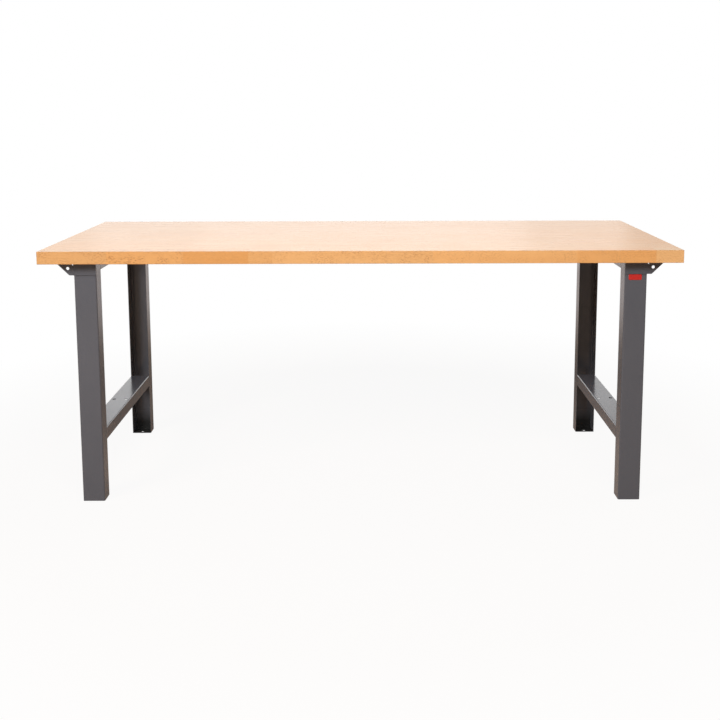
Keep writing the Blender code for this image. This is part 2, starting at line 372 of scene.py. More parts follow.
class PaintFinish(Finish):
    """Glossy anthracite powder coat, with painted shade low down inside the legs and on the foot
    plates.
    """

    name = "anthracite_coat"
    colour: Rgb = (0.083, 0.0825, 0.093)
    cloud_cells: float = 3.0
    cloud_gain: float = 1.09
    thin_colour: Rgb = (0.16, 0.155, 0.16)
    thin_share: float = 0.6
    bare_steel: Rgb = (0.36, 0.35, 0.34)
    handled: float = 0.6
    gloss: float = 0.16
    dulled: float = 0.30
    refraction: float = 1.40
    peel_cells: float = 420.0
    peel_height: float = 0.00002
    # Painted shade: near black low down inside the legs and on the foot plates, and rougher there
    painted_shade_colour: Rgb = (0.012, 0.011, 0.010)
    painted_shade_rough: float = 0.55
    painted_shade_top: float = 0.085
    painted_shade_full: float = 0.03

    def draw(self) -> Inputs:
        """Draws the coat.

        Returns:
            The shader's inputs.
        """
        wear = self.wear()
        lighter = tuple(part * self.cloud_gain for part in self.colour)
        shade = self.blend(self.cloud(self.cloud_cells, 0.3, 0.7), self.colour, lighter)
        thin = self.times(wear["Thin And Shade"], self.thin_share)
        thinned = self.blend(thin, shade, self.thin_colour)
        worn = self.blend(wear["Rubbed"], thinned, self.bare_steel)
        painted_shade = self._painted_shade_mask()
        dulled = self.roughness(self.handled, self.gloss, self.dulled)
        return {
            # The coat turns near black low down inside the legs and on the foot plates: painted
            # shade
            "Base Color": self.blend(painted_shade, worn, self.painted_shade_colour),
            "Roughness": self.plus(painted_shade, self.painted_shade_rough, dulled),
            "Normal": self.peel(self.peel_cells, 1.0, self.peel_height),
            "IOR": self.refraction,
        }

    def _painted_shade_mask(self) -> Socket:
        """Finds where shade is painted: low down inside the legs and on the foot plates.

        Returns:
            The painted shade's share.
        """
        parts = self.parts(self.place)
        inward = self.times(self.facing(FORWARD), parts["Y"])
        inside = self.span(inward, 0.1, 0.25)
        upward = self.span(self.facing(UP), 0.5, 0.9)
        low_down = self.span(parts["Z"], self.painted_shade_top, self.painted_shade_full)
        return self.times(self.math("MAXIMUM", inside, upward), low_down)


class ZincFinish(Finish):
    """Bright zinc plating on the screws and washers."""

    name = "zinc_plate"
    colour: Rgb = (0.60, 0.61, 0.62)
    tint: Rgb = (0.66, 0.63, 0.55)
    tint_cells: float = 160.0
    handled: float = 1.0
    polished: float = 0.26
    dulled: float = 0.48
    grain_cells: float = 1800.0
    grain_strength: float = 0.4
    grain_height: float = 0.00002

    def draw(self) -> Inputs:
        """Returns the plating's inputs."""
        tinted = self.cloud(self.tint_cells, 0.35, 0.65)
        return {
            "Base Color": self.blend(tinted, self.colour, self.tint),
            "Roughness": self.roughness(self.handled, self.polished, self.dulled),
            "Normal": self.peel(self.grain_cells, self.grain_strength, self.grain_height),
            "Metallic": 1.0,
        }


class EnamelFinish(Finish):
    """Red enamel on the blank plate."""

    name = "red_enamel"
    colour: Rgb = (0.46, 0.014, 0.010)
    worn_colour: Rgb = (0.34, 0.011, 0.008)
    handled: float = 0.8
    gloss: float = 0.22
    dulled: float = 0.34
    peel_cells: float = 700.0
    peel_strength: float = 0.5
    peel_height: float = 0.00002

    def draw(self) -> Inputs:
        """Returns the enamel's inputs."""
        return {
            "Base Color": self.blend(self.wear()["Thin And Shade"], self.colour, self.worn_colour),
            "Roughness": self.roughness(self.handled, self.gloss, self.dulled),
            "Normal": self.peel(self.peel_cells, self.peel_strength, self.peel_height),
        }


class BeechFinish(Finish):
    """Sanded and oiled beech, each stave with its own tone, grain and flecks."""

    name = "oiled_beech"
    pale: Rgb = (0.84, 0.43, 0.153)
    deep: Rgb = (0.78, 0.380, 0.126)
    fleck: Rgb = (0.26, 0.09, 0.022)
    end_pale: Rgb = (0.66, 0.33, 0.12)
    end_deep: Rgb = (0.42, 0.18, 0.055)
    glue: Rgb = (0.40, 0.18, 0.06)
    # The dark brown painted on the rounded arrises, in patches: painted shade
    arris: Rgb = (0.42, 0.18, 0.055)
    glue_width: float = 0.00025
    glue_share: float = 0.4
    # How far the patterns jump from stave to stave, for each metre between their centres
    stave_jump: Triple = (13.7, 29.3, 7.1)
    broad_cells: Triple = (1.1, 34.0, 34.0)
    streak_cells: Triple = (5.0, 230.0, 230.0)
    fibre_cells: Triple = (30.0, 1500.0, 1500.0)
    fleck_cells: Triple = (135.0, 400.0, 400.0)
    fleck_patch_cells: float = 26.0
    ring_spacing: float = 0.0042
    ring_wobble: float = 0.006
    pith: Triple = (0.0, 0.31, -0.13)
    wobble_cells: float = 60.0
    pore_cells: float = 1900.0
    # The deepest and the palest tone, and the hue, the saturation and the painted light on the
    # upper face there
    tones: Pair = (-1.0, 1.5)
    hues: Pair = (0.495, 0.506)
    saturations: Pair = (1.07, 0.92)
    face_light: Pair = (0.79, 0.81)
    handled: float = 0.5
    sheen: float = 0.26
    dry: float = 0.33
    relief_strength: float = 0.35
    relief_height: float = 0.00004

    def draw(self) -> Inputs:
        """Draws the wood.

        Returns:
            The shader's inputs.
        """
        centre = self.attribute(StaveData.CENTRE.value, "Vector")
        own_place = self.vector("ADD", self.place, self.vector("MULTIPLY", centre, self.stave_jump))
        broad = self.drawn_out(own_place, self.broad_cells, detail=3.0)
        streak = self.drawn_out(own_place, self.streak_cells, detail=3.0)
        fibre = self.drawn_out(own_place, self.fibre_cells)
        grain = self.plus(fibre, 0.12, self.plus(streak, 0.3, broad))
        toned = self._toned(self.blend(self.span(grain, 0.47, 0.95), self.pale, self.deep))
        flecked = self.blend(self._flecks(own_place), toned, self.fleck)
        ended = self.blend(self._along(ALONG), flecked, self._end_grain(centre))
        glued = self.blend(self._glue_mask(centre), ended, self.glue)
        dryness = self.plus(streak, 0.6, self.times(self.marks(self.handled), 0.5))
        relief = self.plus(streak, 0.6, fibre)
        return {
            # The arrises darkened in patches: painted shade
            "Base Color": self.blend(self.wear()["Thin And Shade"], glued, self.arris),
            "Roughness": self.span(dryness, 0.1, 0.9, self.sheen, self.dry),
            "Normal": self.bump(relief, self.relief_strength, self.relief_height),
        }

    def _toned(self, colour: Socket) -> Socket:
        """Lightens or deepens a stave by its own tone, and paints light on it: its sides get their
        own painted light, its upper and lower faces that of the tone.

        Args:
            colour: The grain's colour.

        Returns:
            The toned colour.
        """
        tone = self.attribute(StaveData.TONE.value)
        side = self.attribute(StaveData.LIGHT.value)
        gain = self.math("SUBTRACT", self.span(tone, *self.tones, *self.face_light), side)
        return self.out("ShaderNodeHueSaturation", {
            "Hue": self.span(tone, *self.tones, *self.hues),
            "Saturation": self.span(tone, *self.tones, *self.saturations),
            "Value": self.plus(self._along(UP), gain, side),
            "Color": colour,
        })

    def _flecks(self, own_place: Socket) -> Socket:
        """Sprinkles the short dark ray flecks that beech has.

        Args:
            own_place: The point's place, shifted stave by stave.

        Returns:
            The flecks' share.
        """
        stretched = self.vector("MULTIPLY", own_place, self.fleck_cells)
        cells = self.out("ShaderNodeTexVoronoi", {"Vector": stretched, "Scale": 1.0}, "Distance")
        patches = self.noise(own_place, self.fleck_patch_cells, detail=3.0)
        mask = self.times(self.span(cells, 0.46, 0.22), self.span(patches, 0.36, 0.62))
        return self.times(self.times(mask, self.attribute(StaveData.FLECK.value)), 0.9)

    def _end_grain(self, centre: Socket) -> Socket:
        """Draws the growth rings on the panel's two ends.

        Args:
            centre: The stave's centre.

        Returns:
            The end grain's colour.
        """
        pith = self.vector("ADD", centre, self.vector("MULTIPLY", centre, self.pith))
        spread = self.vector("SUBTRACT", self.place, pith)
        distance = self.vector("LENGTH", self.vector("MULTIPLY", spread, (0.0, 1.0, 1.0)))
        wobble = self.noise(self.place, self.wobble_cells, detail=3.0)
        radius = self.plus(wobble, self.ring_wobble, distance)
        rings = self.math("FRACT", self.math("DIVIDE", radius, self.ring_spacing))
        pores = self.noise(self.place, self.pore_cells, detail=1.0)
        shade = self.plus(pores, 0.9, self.times(rings, 0.5))
        return self.blend(self.span(shade, 0.35, 1.0), self.end_pale, self.end_deep)

    def _along(self, axis: Triple) -> Socket:
        """Returns 1 where the surface faces along an axis, either way."""
        return self.span(self.math("ABSOLUTE", self.facing(axis)), 0.55, 0.8)

    def _glue_mask(self, centre: Socket) -> Socket:
        """Finds the hairline where two staves meet.

        Args:
            centre: The stave's centre.

        Returns:
            The line's mask.
        """
        size = self.attribute(StaveData.SIZE.value, "Vector")
        inside = self.vector("ABSOLUTE", self.vector("SUBTRACT", self.place, centre))
        half = self.vector("MULTIPLY", size, (0.5, 0.5, 0.5))
        gap = self.parts(self.vector("SUBTRACT", half, inside))
        nearest = self.math("MINIMUM", gap["X"], gap["Y"])
        return self.span(nearest, self.glue_width, self.glue_width / 2, 0.0, self.glue_share)


class FloorFinish(Finish):
    """The pale floor: its own colour where it lights, and white where it is seen."""

    name = "pale_floor"
    colour: Rgb = (0.60, 0.46, 0.36)
    rough: float = 0.9
    # How white the camera sees the floor near the table, and from where to where that ends
    glow: float = 0.93
    shadow_reach: float = 1.2
    fade: float = 2.2
    # The same for what the table mirrors of the floor, from a place in front of it
    mirrored: float = 0.06
    mirror_centre: Triple = (0.0, -2.6, 0.0)
    mirror_start: float = 4.15
    mirror_fade: float = 5.3
    mirror_colour: Rgb = (1.0, 0.90, 0.87)

    def draw(self) -> Inputs:
        """Draws the floor.

        Returns:
            The shader's inputs.
        """
        away = self.vector("LENGTH", self.place)
        glow = self.span(away, self.shadow_reach, self.fade, self.glow, 1.0)
        behind = self.vector("LENGTH", self.vector("SUBTRACT", self.place, self.mirror_centre))
        mirror = self.span(behind, self.mirror_start, self.mirror_fade, self.mirrored, 1.0)
        camera, glossy = self.seen()
        colour = self.blend(glossy, WHITE, self.mirror_colour)
        white = self.add("ShaderNodeEmission", {"Color": colour, "Strength": 1.0})
        share = self.math("MAXIMUM", self.times(camera, glow), self.times(glossy, mirror))
        self.show("Material Output", share, self.shader, white)
        return {"Base Color": rgba(self.colour), "Roughness": self.rough, "Specular IOR Level": 0.0}


def in_scene(name: str, data: bpy.types.ID) -> bpy.types.Object:
    """Puts data into the scene.

    Args:
        name: The new object's name.
        data: Its mesh, lamp or camera.

    Returns:
        The object, at the origin.
    """
    thing = bpy.data.objects.new(name, data)
    bpy.context.scene.collection.objects.link(thing)
    return thing


def evaluated_mesh(carrier: bpy.types.Object, name: str) -> Mesh:
    """Runs an object's modifiers, and removes it and its first mesh.

    Args:
        carrier: The object.
        name: The name of the result.

    Returns:
        The result as plain mesh data.
    """
    first = carrier.data
    evaluated = carrier.evaluated_get(bpy.context.evaluated_depsgraph_get())
    mesh = bpy.data.meshes.new_from_object(evaluated)
    bpy.data.objects.remove(carrier)
    bpy.data.meshes.remove(first)
    mesh.name = name
    return mesh


def weighted_normals(mesh: Mesh) -> Mesh:
    """Shades a mesh smooth, with its large faces left flat.

    Args:
        mesh: The mesh to shade; it is removed.

    Returns:
        The shaded mesh.
    """
    mesh.polygons.foreach_set("use_smooth", [True] * len(mesh.polygons))
    carrier = in_scene(mesh.name, mesh)
    carrier.modifiers.new("shade", "WEIGHTED_NORMAL").keep_sharp = True
    return evaluated_mesh(carrier, mesh.name)


def mesh_data(mesh: BMesh, name: str) -> Mesh:
    """Turns a working mesh into mesh data.

    Args:
        mesh: The working mesh; it is freed.
        name: The name of the result.

    Returns:
        The mesh data.
    """
    data = bpy.data.meshes.new(name)
    mesh.to_mesh(data)
    mesh.free()
    return data


def wire(name: str, points: list[Triple], lines: Sequence[tuple[int, int]] = ()) -> Mesh:
    """Makes a mesh of points, or of lines between them.

    Args:
        name: The mesh's name.
        points: The points' places.
        lines: Each line's two points, by number.

    Returns:
        The mesh.
    """
    mesh = bpy.data.meshes.new(name)
    mesh.from_pydata(points, lines, [])
    return mesh


def hand_over(name: str, mesh: Mesh, nodes: Iterable[str] = ()) -> None:
    """Adds a finished piece to the table.

    Args:
        name: The piece's name.
        mesh: Its mesh, in place.
        nodes: The solids that it stands for.
    """
    piece = in_scene(name, mesh)
    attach(piece, BODY)
    stands_for = list(nodes)
    if stands_for:
        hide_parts(*stands_for)
    LOG.info("%s: %d faces, stands for %d solids", name, len(mesh.polygons), len(stands_for))


def middle(node: str) -> Vector:
    """Returns the middle of a solid's box."""
    low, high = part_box(node)
    return (low + high) / 2


class GeometryTree(Graph):
    """A geometry node tree with named inputs, which ends in realized geometry with a material."""

    def __init__(self, name: str, sizes: Sequence[str]) -> None:
        """Makes a tree with its sockets.

        Args:
            name: The tree's name.
            sizes: The names of its number inputs.
        """
        super().__init__(bpy.data.node_groups.new(name, "GeometryNodeTree"))
        add = self.tree.interface.new_socket
        add("Geometry", in_out="INPUT", socket_type="NodeSocketGeometry")
        add("Geometry", in_out="OUTPUT", socket_type="NodeSocketGeometry")
        kinds = {**dict.fromkeys(sizes, "NodeSocketFloat"), "Finish": "NodeSocketMaterial"}
        self.identifiers = {
            label: add(label, in_out="INPUT", socket_type=kind).identifier
            for label, kind in kinds.items()
        }
        self.source = self.add("NodeGroupInput").outputs

    def step(self, kind: str, inputs: Optional[Inputs] = None, **settings: object) -> Socket:
        """Adds a geometry node and returns its first output."""
        return self.out(f"GeometryNode{kind}", inputs, **settings)

    def here(self) -> Socket:
        """Returns each point's place."""
        return self.step("InputPosition")

    def named(self, name: str, kind: str) -> Socket:
        """Reads an attribute of a kind."""
        return self.step("InputNamedAttribute", {"Name": name}, data_type=kind)

    def stored(self, geometry: Socket, name: str, value: Socket, kind: str, domain: str) -> Socket:
        """Keeps a value of a kind on a geometry's points or faces, under a name."""
        inputs = {"Geometry": geometry, "Name": name, "Value": value}
        return self.step("StoreNamedAttribute", inputs, data_type=kind, domain=domain)

    def cylinder(self, sides: int, diameter: Socket, height: Socket) -> Socket:
        """Adds an upright cylinder about the origin."""
        inputs = {"Vertices": sides, "Radius": self.times(diameter, 0.5), "Depth": height}
        return self.step("MeshCylinder", inputs)

    def lifted(self, geometry: Socket, height: Socket, share: float = 0.5) -> Socket:
        """Moves a shape up by a share of a height."""
        shift = self.out("ShaderNodeCombineXYZ", {"Z": self.times(height, share)})
        return self.step("Transform", {"Geometry": geometry, "Translation": shift})

    def combined(self, operation: str, *solids: Socket) -> Socket:
        """Unites or intersects solids.

        Args:
            operation: The Mesh Boolean node's operation.
            solids: The solids.

        Returns:
            The result.
        """
        node = self.add("GeometryNodeMeshBoolean", operation=operation)
        for solid in solids:
            self.feed(node, {"Mesh 2": solid})
        return node.outputs["Mesh"]

    def set_out(self, points: Socket, shape: Socket, **more: Socket) -> Socket:
        """Sets a shape on each point."""
        return self.step("InstanceOnPoints", {"Points": points, "Instance": shape, **more})

    def realized(self, geometry: Socket) -> Socket:
        """Turns instances into real geometry."""
        return self.step("RealizeInstances", {"Geometry": geometry})

    def close(self, geometry: Socket) -> "GeometryTree":
        """Ends the tree.

        Args:
            geometry: What the tree has made.

        Returns:
            The tree.
        """
        inputs = {"Geometry": self.realized(geometry), "Material": self.source["Finish"]}
        self.add("NodeGroupOutput", {"Geometry": self.step("SetMaterial", inputs)})
        return self

    def grow(self, name: str, seed: Mesh, values: dict[str, Value]) -> Mesh:
        """Runs the tree on a mesh.

        Args:
            name: The name of the result.
            seed: The points or lines that the tree starts from; it is removed afterwards.
            values: Each input's value by name.

        Returns:
            The result as plain mesh data.
        """
        carrier = in_scene(name, seed)
        modifier = carrier.modifiers.new(name, "NODES")
        modifier.node_group = self.tree
        for label, value in values.items():
            modifier[self.identifiers[label]] = value
        return evaluated_mesh(carrier, name)


@dataclass
class EdgeRounder:
    """Rounds the crisp edges of a mesh, and marks the new faces for wear, and on the beech for
    painted shade.
    """

    radius: float
    steps: int = 2
    crisp: float = radians(35)

    def round(self, mesh: BMesh, edges: Optional[list[bmesh.types.BMEdge]] = None) -> None:
        """Rounds edges.

        Args:
            mesh: The mesh to work on.
            edges: The edges to round, or none for every crisp edge.
        """
        chosen = edges if edges is not None else self.crisp_edges(mesh)
        layers = mesh.faces.layers.float
        worn = layers.get(ROUNDED_EDGE) or layers.new(ROUNDED_EDGE)
        made = bmesh.ops.bevel(
            mesh, geom=chosen, offset=self.radius, offset_type="OFFSET", segments=self.steps,
            profile=0.5, affect="EDGES", clamp_overlap=True, material=-1,
        )
        for face in made["faces"]:
            face[worn] = 1.0

    def crisp_edges(self, mesh: BMesh) -> list[bmesh.types.BMEdge]:
        """Returns the edges where two faces meet at more than the crisp angle."""
        inner = [edge for edge in mesh.edges if len(edge.link_faces) == 2]
        return [edge for edge in inner if edge.calc_face_angle() > self.crisp]


@dataclass
class FoldedSteel:
    """The trestles' folded pieces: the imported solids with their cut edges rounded."""

    cut_edge: float = 0.00035
    weld_distance: float = 0.000002
    flat_angle: float = radians(1.0)
    pieces: tuple[str, ...] = ("leg", "foot_plate", "head_bracket")
    rails: tuple[str, ...] = ("top_rail", "lower_rail")

    def nodes(self) -> list[str]:
        """Returns the names of all the folded pieces' solids."""
        parts = [*self.rails, *(f"{end.value}_{piece}" for end in End for piece in self.pieces)]
        return [f"{side.value}_{part}" for side in Side for part in parts]

    def build(self, paint: Material) -> None:
        """Refines and paints every piece.

        Args:
            paint: The coat.
        """
        for node in self.nodes():
            mesh = self._refined(node)
            mesh.materials.clear()
            mesh.materials.append(paint)
            hand_over(f"{node}_coated", mesh, [node])

    def _refined(self, node: str) -> Mesh:
        """Makes a solid's flat faces whole and rounds its cut edges.

        Args:
            node: The solid's name.

        Returns:
            The refined mesh.
        """
        mesh = bmesh.new()
        mesh.from_mesh(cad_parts[node].data)
        bmesh.ops.remove_doubles(mesh, verts=mesh.verts, dist=self.weld_distance)
        bmesh.ops.dissolve_limit(
            mesh, angle_limit=self.flat_angle, verts=mesh.verts, edges=mesh.edges
        )
        EdgeRounder(self.cut_edge).round(mesh)
        return weighted_normals(mesh_data(mesh, node))


@dataclass(frozen=True)
class Stave:
    """One stick of the panel."""

    start: float
    length: float
    row: int
    tone: float
    fleck: float
    light: float


@dataclass
class StavePanel:
    """The tabletop: rows of beech staves, butted end to end and glued side by side."""

    node: str = "tabletop"
    rows: int = 16
    shortest: float = 0.24
    longest: float = 0.62
    glue_line: float = 0.00006
    arris: float = 0.0012
    arris_steps: int = 3
    seed: int = 41
    # The ranges of the other rows' tones and flecks, and the light painted on their sides and its
    # gain by the tone
    tones: Pair = (-0.1, 0.7)
    flecks: Pair = (0.1, 0.6)
    light: float = 0.775
    light_gain: float = 0.06
    # Length, tone, fleck and the light painted on the sides of the staves along the front edge,
    # from left to right
    front_row: tuple[tuple[float, float, float, float], ...] = (
        (0.215, 0.75, 1.1, 0.875),
        (0.238, 0.1, 1.9, 0.955),
        (0.201, -0.62, 0.3, 0.905),
        (0.074, 0.5, 0.8, 0.96),
        (0.497, 1.0, 0.8, 1.06),
        (0.445, 0.65, 0.5, 1.12),
        (0.133, 0.0, 0.5, 1.07),
        (0.111, -0.27, 0.4, 1.07),
        (0.086, 1.5, 0.4, 1.145),
    )
    low: Vector = field(init=False)
    high: Vector = field(init=False)
    staves: list[Stave] = field(init=False)

    def __post_init__(self) -> None:
        """Takes the panel's box from its solid and lays out the staves."""
        self.low, self.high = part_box(self.node)
        self.staves = self._front_staves() + self._random_staves()

    def build(self, beech: Material) -> None:
        """Glues the staves, rounds the panel's arrises and finishes it.

        Args:
            beech: The wood.
        """
        values = {"Glue Line": self.glue_line, "Finish": beech}
        mesh = self._tree().grow("beech_staves", self._points(), values)
        self._round_arrises(mesh)
        hand_over("beech_staves", weighted_normals(mesh), [self.node])

    def _front_staves(self) -> list[Stave]:
        """Lays out the front row, stretched to fill it exactly.

        Returns:
            Its staves.
        """
        total = sum(length for length, *_ in self.front_row)
        scale = (self.high.x - self.low.x) / total
        staves, start = [], self.low.x
        for length, *looks in self.front_row:
            staves.append(Stave(start, length * scale, 0, *looks))
            start += length * scale
        return staves

    def _random_staves(self) -> list[Stave]:
        """Lays out the other rows, with staggered butt joints.

        Returns:
            Their staves.
        """
        random = Random(self.seed)
        staves = []
        for row in range(1, self.rows):
            start = self.low.x
            length = random.uniform(self.shortest / 2, self.longest)
            while start < self.high.x:
                rest = self.high.x - start
                if rest - length < self.shortest:
                    length = rest
                tone, fleck = random.uniform(*self.tones), random.uniform(*self.flecks)
                light = self.light + self.light_gain * tone
                staves.append(Stave(start, length, row, tone, fleck, light))
                start += length
                length = random.uniform(self.shortest, self.longest)
        return staves

    def _points(self) -> Mesh:
        """Makes one point for each stave, with the stave's size and looks on it.

        Returns:
            The points.
        """
        width = (self.high.y - self.low.y) / self.rows
        height = self.high.z - self.low.z
        level = (self.high.z + self.low.z) / 2
        places = [
            (stave.start + stave.length / 2, self.low.y + width * (stave.row + 0.5), level)
            for stave in self.staves
        ]
        mesh = wire("stave_points", places)
        sizes = [part for stave in self.staves for part in (stave.length, width, height)]
        columns = {
            StaveData.SIZE: sizes,
            StaveData.TONE: [stave.tone for stave in self.staves],
            StaveData.LIGHT: [stave.light for stave in self.staves],
            StaveData.FLECK: [stave.fleck for stave in self.staves],
        }
        for data, numbers in columns.items():
            kept = mesh.attributes.new(data.value, data.kind, "POINT").data
            kept.foreach_set("vector" if data is StaveData.SIZE else "value", numbers)
        return mesh

    @staticmethod
    def _tree() -> GeometryTree:
        """Draws a stick of its own size on each point.

        Returns:
            The tree.
        """
        tree = GeometryTree("stave_layout", ["Glue Line"])
        centre, size = StaveData.CENTRE, StaveData.SIZE
        points = tree.source["Geometry"]
        marked = tree.stored(points, centre.value, tree.here(), centre.kind, "POINT")
        own_size = tree.named(size.value, size.kind)
        sawn = tree.vector("SUBTRACT", own_size, tree.source["Glue Line"])
        panel = tree.realized(tree.set_out(marked, tree.step("MeshCube"), Scale=sawn))
        for data in StaveData:
            own = tree.named(data.value, data.kind)
            panel = tree.stored(panel, data.value, own, data.kind, "FACE")
        return tree.close(panel)

    def _round_arrises(self, data: Mesh) -> None:
        """Rounds the panel's outer edges and leaves the staves' other edges crisp.

        Args:
            data: The staves' mesh, changed in place.
        """
        mesh = bmesh.new()
        mesh.from_mesh(data)
        outer = [
            edge for edge in mesh.edges if len(set.intersection(*map(self._planes, edge.verts))) > 1
        ]
        rounder = EdgeRounder(self.arris, self.arris_steps)
        rounder.round(mesh, outer)
        for edge in rounder.crisp_edges(mesh):
            edge.smooth = False
        mesh.to_mesh(data)
        mesh.free()

    def _planes(self, vertex: bmesh.types.BMVert) -> set[tuple[int, int]]:
        """Finds which of the panel's outer planes a point lies on.

        Args:
            vertex: The point.

        Returns:
            Each plane's axis, and the sign of its side.
        """
        near = 2 * self.glue_line
        sides = ((-1, self.low), (1, self.high))
        return {
            (axis, sign)
            for axis in range(3)
            for sign, corner in sides
            if abs(vertex.co[axis] - corner[axis]) < near
        }


@dataclass
class Fasteners:
    """The coach screws and washers under the top."""

    rail_screws: int = 3
    head_across_flats: float = 0.013
    head_height: float = 0.0055
    head_chamfer: float = 0.0011
    shank_diameter: float = 0.008
    washer_bore: float = 0.009
    round_sides: int = 24
    washer_sides: int = 40
    # The cone that chamfers the head: how far inside the flats it starts, in chamfers, and how
    # much wider it gets for its height
    cone_sides: int = 48
    cone_start: float = 2.06
    cone_spread: float = 1.76

    def build(self, zinc: Material) -> None:
        """Sets the screws and the washers.

        Args:
            zinc: The plating.
        """
        screws, washers = self._nodes("screw"), self._nodes("washer")
        low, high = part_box(screws[0])
        screw = {
            "Across Flats": self.head_across_flats,
            "Head Height": self.head_height,
            "Chamfer": self.head_chamfer,
            "Shank Diameter": self.shank_diameter,
            "Length": high.z - low.z,
        }
        low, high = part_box(washers[0])
        washer = {"Diameter": high.y - low.y, "Bore": self.washer_bore, "Thickness": high.z - low.z}
        sets = (
            ("coach_screws", screws, self._screw_tree(), screw),
            ("screw_washers", washers, self._washer_tree(), washer),
        )
        for name, nodes, tree, sizes in sets:
            bottoms = [(*middle(node).xy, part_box(node)[0].z) for node in nodes]
            mesh = tree.grow(name, wire("fastener_points", bottoms), {**sizes, "Finish": zinc})
            hand_over(name, weighted_normals(mesh), nodes)

    def _nodes(self, kind: str) -> list[str]:
        """Names all the screws or all the washers.

        Args:
            kind: The word for a screw or a washer in node names.

        Returns:
            The names of their solids.
        """
        names = [f"rail_{kind}_{number}" for number in range(1, self.rail_screws + 1)]
        names += [f"{end.value}_bracket_{kind}" for end in End]
        return [f"{side.value}_{name}" for side in Side for name in names]

    def _screw_tree(self) -> GeometryTree:
        """Draws a screw, head down, on each point.

        Returns:
            The tree.
        """
        sizes = ["Across Flats", "Head Height", "Chamfer", "Shank Diameter", "Length"]
        tree = GeometryTree("coach_screw", sizes)
        flats, height, chamfer, shank, length = (tree.source[size] for size in sizes)
        hexagon = tree.cylinder(6, tree.math("DIVIDE", flats, cos(radians(30))), height)
        # The cone is longer than the head and the shank sinks into it, so that no two faces lie
        # in one plane
        tall = tree.plus(chamfer, 2.0, height)
        apothem = tree.times(flats, 0.5)
        narrow = tree.plus(chamfer, -self.cone_start, apothem)
        cone = {
            "Vertices": self.cone_sides,
            "Radius Top": tree.plus(tall, self.cone_spread, narrow),
            "Radius Bottom": narrow,
            "Depth": tall,
        }
        chamfering = tree.lifted(tree.step("MeshCone", cone), tall, -0.5)
        head = tree.combined("INTERSECT", hexagon, chamfering)
        above = tree.math("SUBTRACT", height, chamfer)
        bar = tree.cylinder(self.round_sides, shank, tree.math("SUBTRACT", length, above))
        sunk = tree.lifted(bar, tree.math("SUBTRACT", length, chamfer))
        whole = tree.combined("UNION", head, sunk)
        return tree.close(tree.set_out(tree.source["Geometry"], tree.lifted(whole, height)))

    def _washer_tree(self) -> GeometryTree:
        """Draws a washer on each point.

        Returns:
            The tree.
        """
        sizes = ["Diameter", "Bore", "Thickness"]
        tree = GeometryTree("flat_washer", sizes)
        diameter, bore, thickness = (tree.source[size] for size in sizes)
        through = tree.times(thickness, 3.0)
        solids = {
            "Mesh 1": tree.cylinder(self.washer_sides, diameter, thickness),
            "Mesh 2": tree.cylinder(self.round_sides, bore, through),
        }
        ring = tree.step("MeshBoolean", solids, operation="DIFFERENCE")
        return tree.close(tree.set_out(tree.source["Geometry"], tree.lifted(ring, thickness)))


@dataclass
class BlankPlate:
    """The small blank enamelled plate on the right front leg."""

    leg: str = "right_front_leg"
    bracket: str = "right_front_head_bracket"
    width: float = 0.041
    height: float = 0.018
    thickness: float = 0.0008
    corner: float = 0.0035
    corner_steps: int = 6
    rim_share: float = 0.4
    off_centre: float = -0.0025
    below_bracket: float = 0.0012

    def build(self, enamel: Material) -> None:
        """Cuts the plate and sets it on the leg.

        Args:
            enamel: The plate's finish.
        """
        mesh = bmesh.new()
        bmesh.ops.create_cube(mesh, size=1.0)
        bmesh.ops.scale(mesh, vec=(self.width, self.thickness, self.height), verts=mesh.verts)
        deep = self.thickness / 2
        corners = [e for e in mesh.edges if abs(e.verts[0].co.y - e.verts[1].co.y) > deep]
        bmesh.ops.bevel(
            mesh, geom=corners, offset=self.corner, segments=self.corner_steps, profile=0.5,
            affect="EDGES",
        )
        EdgeRounder(self.thickness * self.rim_share).round(mesh)
        centre = (
            middle(self.leg).x + self.off_centre,
            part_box(self.leg)[0].y - self.thickness / 2,
            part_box(self.bracket)[0].z - self.below_bracket - self.height / 2,
        )
        bmesh.ops.translate(mesh, vec=centre, verts=mesh.verts)
        data = mesh_data(mesh, "blank_plate")
        data.materials.append(enamel)
        hand_over("blank_plate", weighted_normals(data))


